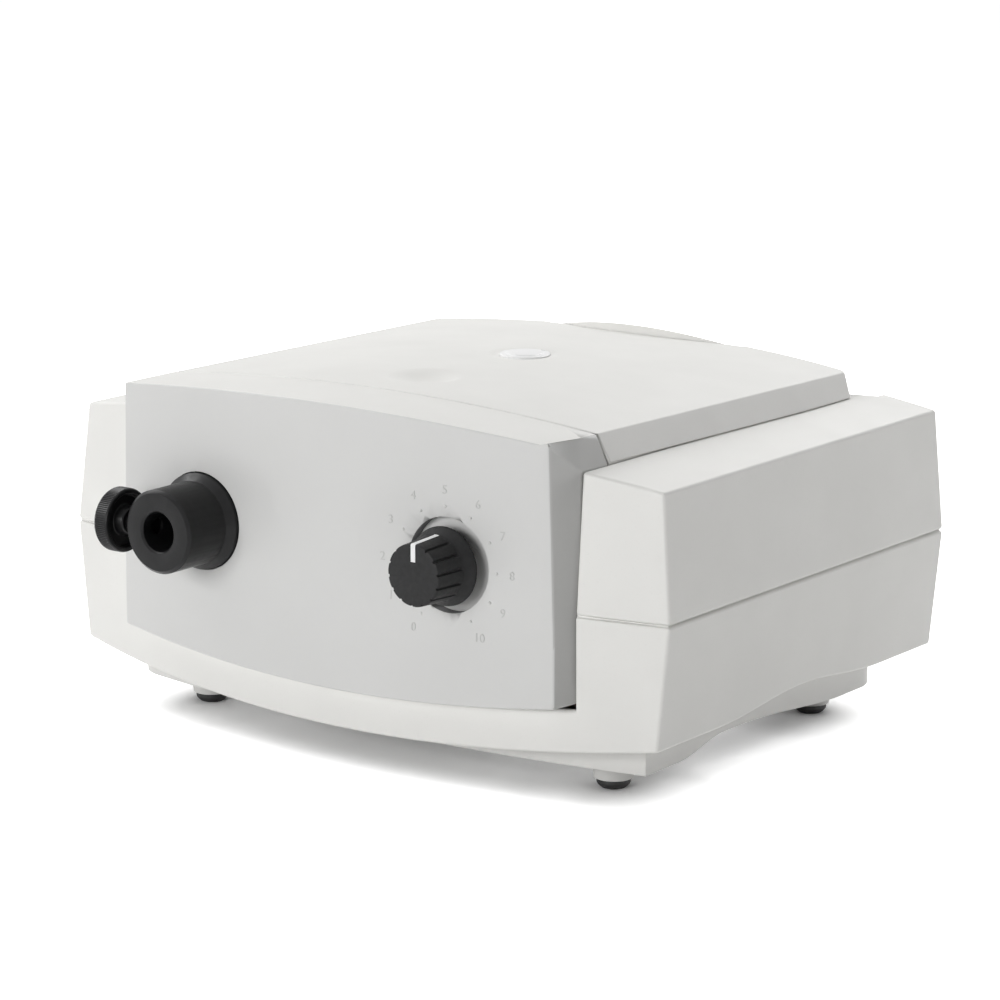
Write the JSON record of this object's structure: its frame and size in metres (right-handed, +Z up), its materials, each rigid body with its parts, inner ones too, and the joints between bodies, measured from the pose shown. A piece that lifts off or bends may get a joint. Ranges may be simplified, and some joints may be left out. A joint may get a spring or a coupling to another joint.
{
  "type": "fiber optic illuminator",
  "caption": "Desktop cold light source with a clamped light guide port, an intensity knob and a lift-off lamp cover, in a bowed two-part plastic housing.",
  "frame": {"origin": "middle of the footprint on the table, at the feet's treads", "axes": "+X to the right and -Y to the front as the user faces it, +Z up"},
  "size_m": [0.28, 0.2472, 0.1397],
  "materials": {
    "housing_plastic": "fine satin texture",
    "panel_plastic": "fine satin texture",
    "badge_white": "gloss",
    "white_line": "satin",
    "foot_rubber": "matt",
    "black_anodised": "satin black anodised",
    "brass": "turned",
    "knob_black": "satin",
    "steel": "zinc plated",
    "sheet_metal": "satin sheet",
    "black_plastic": "matt",
    "circuit_board": "solder resist",
    "clear_glass": "clear",
    "reflector_mirror": "coated glass",
    "ceramic": "unglazed ceramic",
    "copper_winding": "lacquered wire under tape"
  },
  "bodies": {
    "housing": {"lower_shell": "housing_plastic", "base_plinth": "housing_plastic", "upper_shell": "housing_plastic", "front_bezel": "panel_plastic", "rear_panel": "panel_plastic", "rear_hood": "housing_plastic", "foot_front_left": "foot_rubber", "foot_front_right": "foot_rubber", "foot_rear_left": "foot_rubber", "foot_rear_right": "foot_rubber", "light_guide_port": "black_anodised", "port_bracket": "sheet_metal", "port_ring_nut": "steel", "pot_body": "black_plastic", "pot_nut": "steel", "control_pcb": "circuit_board", "control_parts": "black_plastic", "chassis_plate": "sheet_metal", "chassis_screws": "steel", "heat_shield": "sheet_metal", "filter_holder": "sheet_metal", "heat_filter": "clear_glass", "lamp_bracket": "sheet_metal", "lamp_reflector": "reflector_mirror", "lamp_bulb": "clear_glass", "lamp_base": "ceramic", "lamp_socket": "ceramic", "lamp_clip": "steel", "power_pcb": "circuit_board", "power_parts": "black_plastic", "power_heatsink": "sheet_metal", "toroid_transformer": "copper_winding", "toroid_pads": "foot_rubber", "toroid_plate": "steel", "toroid_bolt": "steel", "fan_frame": "black_plastic", "fan_screws": "steel", "mains_inlet": "black_plastic", "inlet_pins": "steel", "switch_housing": "black_plastic", "panel_screws": "steel", "inlet_screws": "steel", "hood_screws": "steel", "shell_screws": "steel", "bezel_screws": "steel"},
    "cover": {"top_cover": "housing_plastic", "cover_badge": "badge_white"},
    "knob": {"intensity_knob": "knob_black", "knob_pointer": "white_line", "pot_shaft": "steel"},
    "clamp_pad": {"clamp_tip": "brass"},
    "clamp_thumbscrew": {"clamp_screw": "black_anodised"},
    "rocker": {"switch_rocker": "black_plastic"},
    "rotor": {"fan_rotor": "black_plastic"},
    "drawer": {"fuse_drawer": "black_plastic", "fuse_links": "clear_glass"}
  },
  "joints": [
    {"name": "knob_turn", "type": "hinge", "parent": "housing", "child": "knob", "pos_m": [0.0573, -0.10635, 0.0865], "axis": [0, 1, 0], "range_deg": [-150, 150]},
    {"name": "clamp_travel", "type": "slide", "parent": "housing", "child": "clamp_pad", "axis": [1, 0, 0], "range_m": [-0.002, 0.0015]},
    {"name": "clamp_turn", "type": "hinge", "parent": "clamp_pad", "child": "clamp_thumbscrew", "pos_m": [-0.0792, -0.11145, 0.0865], "axis": [1, 0, 0], "range_deg": [-730, 550]},
    {"name": "cover_lift", "type": "slide", "parent": "housing", "child": "cover", "axis": [0, 0, 1], "range_m": [0, 0.12]},
    {"name": "switch_rock", "type": "hinge", "parent": "housing", "child": "rocker", "pos_m": [0.08, 0.10415, 0.0995], "axis": [0, 0, 1], "range_deg": [-18, 0]},
    {"name": "fan_spin", "type": "hinge", "parent": "housing", "child": "rotor", "pos_m": [0, 0.09365, 0.077], "axis": [0, 1, 0], "continuous": true},
    {"name": "fuse_drawer_slide", "type": "slide", "parent": "housing", "child": "drawer", "axis": [0, 1, 0], "range_m": [0, 0.02]}
  ],
  "couplings": [
    {"joint": "clamp_turn", "follows": "clamp_travel", "rad_per_m": 6283.2}
  ]
}
